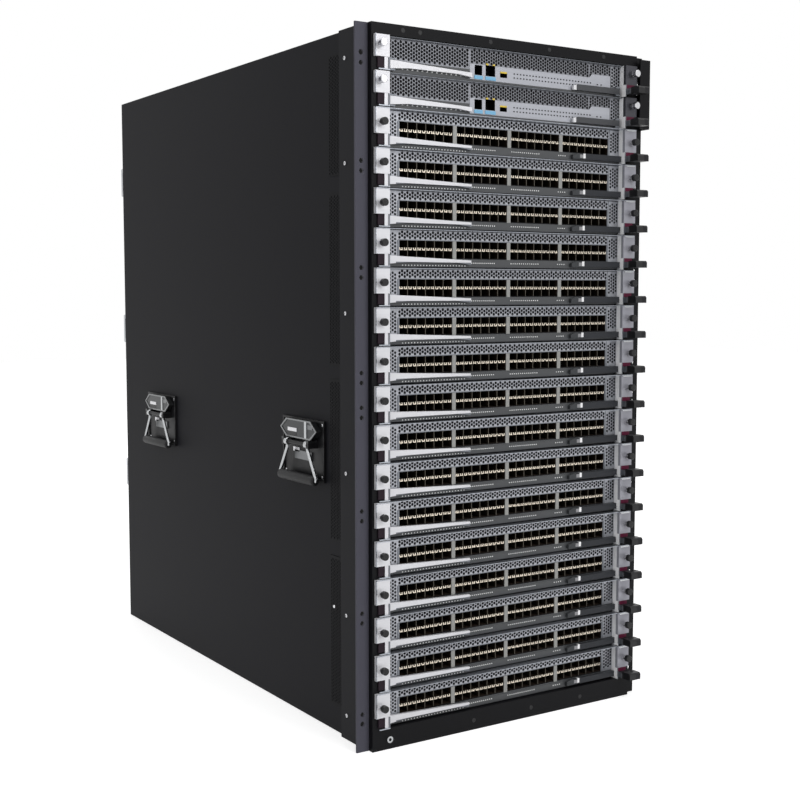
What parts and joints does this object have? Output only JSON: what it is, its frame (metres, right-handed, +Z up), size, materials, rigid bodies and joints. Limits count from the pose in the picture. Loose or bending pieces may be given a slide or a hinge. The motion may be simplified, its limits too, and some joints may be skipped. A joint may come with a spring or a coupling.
{
  "type": "modular chassis switch",
  "caption": "Rack-mounted modular network switch chassis with plug-in line cards, control cards with ejector levers, rear fan trays and power modules, and folding carry handles.",
  "frame": {"origin": "middle of the chassis footprint, on the level of its base", "axes": "+X to the right seen from the front, front towards -Y, +Z up"},
  "size_m": [0.4826, 0.914, 0.9315],
  "materials": {
    "charcoal_shell": "fine matte powder coat",
    "black_frame": "satin black paint",
    "bare_steel": "zinc plated",
    "board_green": "solder mask over laminate",
    "handle_grey": "satin grey paint",
    "jack_nickel": "polished nickel",
    "card_nickel": "brushed, clear finish",
    "lever_grey": "moulded, satin",
    "rotor_black": "moulded, matte",
    "handle_chrome": "polished"
  },
  "bodies": {
    "chassis": {"left_side_panel": "charcoal_shell", "right_side_panel": "charcoal_shell", "bottom_panel": "charcoal_shell", "top_panel": "charcoal_shell", "front_frame": "black_frame", "left_rack_flange": "charcoal_shell", "right_rack_flange": "charcoal_shell", "left_card_guides": "bare_steel", "right_card_guides": "bare_steel", "midplane": "board_green", "power_cage": "bare_steel", "rear_frame": "bare_steel", "handle_mounts": "handle_grey", "tag_plate": "black_frame", "grounding_jack": "jack_nickel"},
    "line_card_01": {"line_card_01": "card_nickel"},
    "line_card_02": {"line_card_02": "card_nickel"},
    "line_card_03": {"line_card_03": "card_nickel"},
    "line_card_04": {"line_card_04": "card_nickel"},
    "line_card_05": {"line_card_05": "card_nickel"},
    "line_card_06": {"line_card_06": "card_nickel"},
    "line_card_07": {"line_card_07": "card_nickel"},
    "line_card_08": {"line_card_08": "card_nickel"},
    "line_card_09": {"line_card_09": "card_nickel"},
    "line_card_10": {"line_card_10": "card_nickel"},
    "line_card_11": {"line_card_11": "card_nickel"},
    "line_card_12": {"line_card_12": "card_nickel"},
    "line_card_13": {"line_card_13": "card_nickel"},
    "line_card_14": {"line_card_14": "card_nickel"},
    "line_card_15": {"line_card_15": "card_nickel"},
    "line_card_16": {"line_card_16": "card_nickel"},
    "lower_control_card": {"lower_control_card": "card_nickel"},
    "lower_control_left_lever": {"lower_control_left_lever": "lever_grey"},
    "lower_control_right_lever": {"lower_control_right_lever": "lever_grey"},
    "upper_control_card": {"upper_control_card": "card_nickel"},
    "upper_control_left_lever": {"upper_control_left_lever": "lever_grey"},
    "upper_control_right_lever": {"upper_control_right_lever": "lever_grey"},
    "lower_fan_tray": {"lower_fan_tray": "bare_steel"},
    "lower_left_fan_rotor": {"lower_left_fan_rotor": "rotor_black"},
    "lower_right_fan_rotor": {"lower_right_fan_rotor": "rotor_black"},
    "middle_fan_tray": {"middle_fan_tray": "bare_steel"},
    "middle_left_fan_rotor": {"middle_left_fan_rotor": "rotor_black"},
    "middle_right_fan_rotor": {"middle_right_fan_rotor": "rotor_black"},
    "upper_fan_tray": {"upper_fan_tray": "bare_steel"},
    "upper_left_fan_rotor": {"upper_left_fan_rotor": "rotor_black"},
    "upper_right_fan_rotor": {"upper_right_fan_rotor": "rotor_black"},
    "power_module_1": {"power_module_1": "bare_steel"},
    "power_module_2": {"power_module_2": "bare_steel"},
    "power_module_3": {"power_module_3": "bare_steel"},
    "power_module_4": {"power_module_4": "bare_steel"},
    "power_module_5": {"power_module_5": "bare_steel"},
    "power_module_6": {"power_module_6": "bare_steel"},
    "power_module_7": {"power_module_7": "bare_steel"},
    "power_module_8": {"power_module_8": "bare_steel"},
    "left_front_carry_handle": {"left_front_carry_handle": "handle_chrome"},
    "left_rear_carry_handle": {"left_rear_carry_handle": "handle_chrome"},
    "right_front_carry_handle": {"right_front_carry_handle": "handle_chrome"},
    "right_rear_carry_handle": {"right_rear_carry_handle": "handle_chrome"}
  },
  "joints": [
    {"name": "line_card_01_slide", "type": "slide", "parent": "chassis", "child": "line_card_01", "axis": [0, -1, 0], "range_m": [0, 0.4]},
    {"name": "line_card_02_slide", "type": "slide", "parent": "chassis", "child": "line_card_02", "axis": [0, -1, 0], "range_m": [0, 0.4]},
    {"name": "line_card_03_slide", "type": "slide", "parent": "chassis", "child": "line_card_03", "axis": [0, -1, 0], "range_m": [0, 0.4]},
    {"name": "line_card_04_slide", "type": "slide", "parent": "chassis", "child": "line_card_04", "axis": [0, -1, 0], "range_m": [0, 0.4]},
    {"name": "line_card_05_slide", "type": "slide", "parent": "chassis", "child": "line_card_05", "axis": [0, -1, 0], "range_m": [0, 0.4]},
    {"name": "line_card_06_slide", "type": "slide", "parent": "chassis", "child": "line_card_06", "axis": [0, -1, 0], "range_m": [0, 0.4]},
    {"name": "line_card_07_slide", "type": "slide", "parent": "chassis", "child": "line_card_07", "axis": [0, -1, 0], "range_m": [0, 0.4]},
    {"name": "line_card_08_slide", "type": "slide", "parent": "chassis", "child": "line_card_08", "axis": [0, -1, 0], "range_m": [0, 0.4]},
    {"name": "line_card_09_slide", "type": "slide", "parent": "chassis", "child": "line_card_09", "axis": [0, -1, 0], "range_m": [0, 0.4]},
    {"name": "line_card_10_slide", "type": "slide", "parent": "chassis", "child": "line_card_10", "axis": [0, -1, 0], "range_m": [0, 0.4]},
    {"name": "line_card_11_slide", "type": "slide", "parent": "chassis", "child": "line_card_11", "axis": [0, -1, 0], "range_m": [0, 0.4]},
    {"name": "line_card_12_slide", "type": "slide", "parent": "chassis", "child": "line_card_12", "axis": [0, -1, 0], "range_m": [0, 0.4]},
    {"name": "line_card_13_slide", "type": "slide", "parent": "chassis", "child": "line_card_13", "axis": [0, -1, 0], "range_m": [0, 0.4]},
    {"name": "line_card_14_slide", "type": "slide", "parent": "chassis", "child": "line_card_14", "axis": [0, -1, 0], "range_m": [0, 0.4]},
    {"name": "line_card_15_slide", "type": "slide", "parent": "chassis", "child": "line_card_15", "axis": [0, -1, 0], "range_m": [0, 0.4]},
    {"name": "line_card_16_slide", "type": "slide", "parent": "chassis", "child": "line_card_16", "axis": [0, -1, 0], "range_m": [0, 0.4]},
    {"name": "lower_control_card_slide", "type": "slide", "parent": "chassis", "child": "lower_control_card", "axis": [0, -1, 0], "range_m": [0, 0.4]},
    {"name": "lower_control_left_lever_pivot", "type": "hinge", "parent": "lower_control_card", "child": "lower_control_left_lever", "pos_m": [-0.19, -0.424, 0.838], "axis": [0, 0, 1], "range_deg": [-70, 0]},
    {"name": "lower_control_right_lever_pivot", "type": "hinge", "parent": "lower_control_card", "child": "lower_control_right_lever", "pos_m": [0.19, -0.424, 0.8355], "axis": [0, 0, 1], "range_deg": [0, 70]},
    {"name": "upper_control_card_slide", "type": "slide", "parent": "chassis", "child": "upper_control_card", "axis": [0, -1, 0], "range_m": [0, 0.4]},
    {"name": "upper_control_left_lever_pivot", "type": "hinge", "parent": "upper_control_card", "child": "upper_control_left_lever", "pos_m": [-0.19, -0.424, 0.8825], "axis": [0, 0, 1], "range_deg": [-70, 0]},
    {"name": "upper_control_right_lever_pivot", "type": "hinge", "parent": "upper_control_card", "child": "upper_control_right_lever", "pos_m": [0.19, -0.424, 0.88], "axis": [0, 0, 1], "range_deg": [0, 70]},
    {"name": "lower_fan_tray_slide", "type": "slide", "parent": "chassis", "child": "lower_fan_tray", "axis": [0, 1, 0], "range_m": [0, 0.1]},
    {"name": "lower_left_fan_rotor_spin", "type": "hinge", "parent": "lower_fan_tray", "child": "lower_left_fan_rotor", "pos_m": [-0.1, 0.4039, 0.2645], "axis": [0, 1, 0], "continuous": true},
    {"name": "lower_right_fan_rotor_spin", "type": "hinge", "parent": "lower_fan_tray", "child": "lower_right_fan_rotor", "pos_m": [0.1, 0.4039, 0.2645], "axis": [0, 1, 0], "continuous": true},
    {"name": "middle_fan_tray_slide", "type": "slide", "parent": "chassis", "child": "middle_fan_tray", "axis": [0, 1, 0], "range_m": [0, 0.1]},
    {"name": "middle_left_fan_rotor_spin", "type": "hinge", "parent": "middle_fan_tray", "child": "middle_left_fan_rotor", "pos_m": [-0.1, 0.4039, 0.5295], "axis": [0, 1, 0], "continuous": true},
    {"name": "middle_right_fan_rotor_spin", "type": "hinge", "parent": "middle_fan_tray", "child": "middle_right_fan_rotor", "pos_m": [0.1, 0.4039, 0.5295], "axis": [0, 1, 0], "continuous": true},
    {"name": "upper_fan_tray_slide", "type": "slide", "parent": "chassis", "child": "upper_fan_tray", "axis": [0, 1, 0], "range_m": [0, 0.1]},
    {"name": "upper_left_fan_rotor_spin", "type": "hinge", "parent": "upper_fan_tray", "child": "upper_left_fan_rotor", "pos_m": [-0.1, 0.4039, 0.7945], "axis": [0, 1, 0], "continuous": true},
    {"name": "upper_right_fan_rotor_spin", "type": "hinge", "parent": "upper_fan_tray", "child": "upper_right_fan_rotor", "pos_m": [0.1, 0.4039, 0.7945], "axis": [0, 1, 0], "continuous": true},
    {"name": "power_module_1_slide", "type": "slide", "parent": "chassis", "child": "power_module_1", "axis": [0, 1, 0], "range_m": [0, 0.26]},
    {"name": "power_module_2_slide", "type": "slide", "parent": "chassis", "child": "power_module_2", "axis": [0, 1, 0], "range_m": [0, 0.26]},
    {"name": "power_module_3_slide", "type": "slide", "parent": "chassis", "child": "power_module_3", "axis": [0, 1, 0], "range_m": [0, 0.26]},
    {"name": "power_module_4_slide", "type": "slide", "parent": "chassis", "child": "power_module_4", "axis": [0, 1, 0], "range_m": [0, 0.26]},
    {"name": "power_module_5_slide", "type": "slide", "parent": "chassis", "child": "power_module_5", "axis": [0, 1, 0], "range_m": [0, 0.26]},
    {"name": "power_module_6_slide", "type": "slide", "parent": "chassis", "child": "power_module_6", "axis": [0, 1, 0], "range_m": [0, 0.26]},
    {"name": "power_module_7_slide", "type": "slide", "parent": "chassis", "child": "power_module_7", "axis": [0, 1, 0], "range_m": [0, 0.26]},
    {"name": "power_module_8_slide", "type": "slide", "parent": "chassis", "child": "power_module_8", "axis": [0, 1, 0], "range_m": [0, 0.26]},
    {"name": "left_front_carry_handle_swing", "type": "hinge", "parent": "chassis", "child": "left_front_carry_handle", "pos_m": [-0.232, -0.2465, 0.388], "axis": [0, 1, 0], "range_deg": [0, 90]},
    {"name": "left_rear_carry_handle_swing", "type": "hinge", "parent": "chassis", "child": "left_rear_carry_handle", "pos_m": [-0.232, 0.2585, 0.388], "axis": [0, 1, 0], "range_deg": [0, 90]},
    {"name": "right_front_carry_handle_swing", "type": "hinge", "parent": "chassis", "child": "right_front_carry_handle", "pos_m": [0.232, -0.2465, 0.388], "axis": [0, 1, 0], "range_deg": [-90, 0]},
    {"name": "right_rear_carry_handle_swing", "type": "hinge", "parent": "chassis", "child": "right_rear_carry_handle", "pos_m": [0.232, 0.2585, 0.388], "axis": [0, 1, 0], "range_deg": [-90, 0]}
  ]
}
